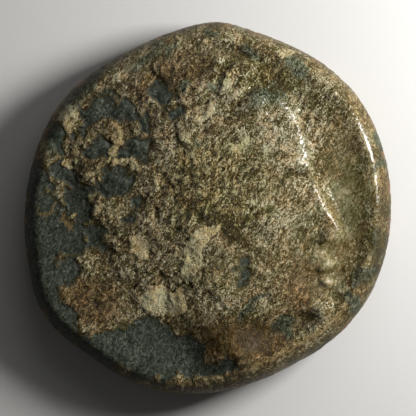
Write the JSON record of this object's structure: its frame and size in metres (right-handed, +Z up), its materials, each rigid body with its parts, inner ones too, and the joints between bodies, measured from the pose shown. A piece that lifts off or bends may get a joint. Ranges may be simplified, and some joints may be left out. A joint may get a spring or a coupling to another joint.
{
  "type": "ancient bronze coin",
  "caption": "Small thick struck bronze coin, worn and patinated: a head in profile on top, a tripod below, on an uneven round blank.",
  "frame": {"origin": "middle of the underside, on the plane that the coin rests on", "axes": "+Z up out of the obverse, +Y towards the crown of the head, +X the way that the head faces"},
  "size_m": [0.0174, 0.0178, 0.0038],
  "materials": {
    "patinated_bronze": "worn granular brown and olive crust over smooth blue-grey patina"
  },
  "bodies": {
    "root": {"coin": "patinated_bronze"}
  },
  "joints": []
}
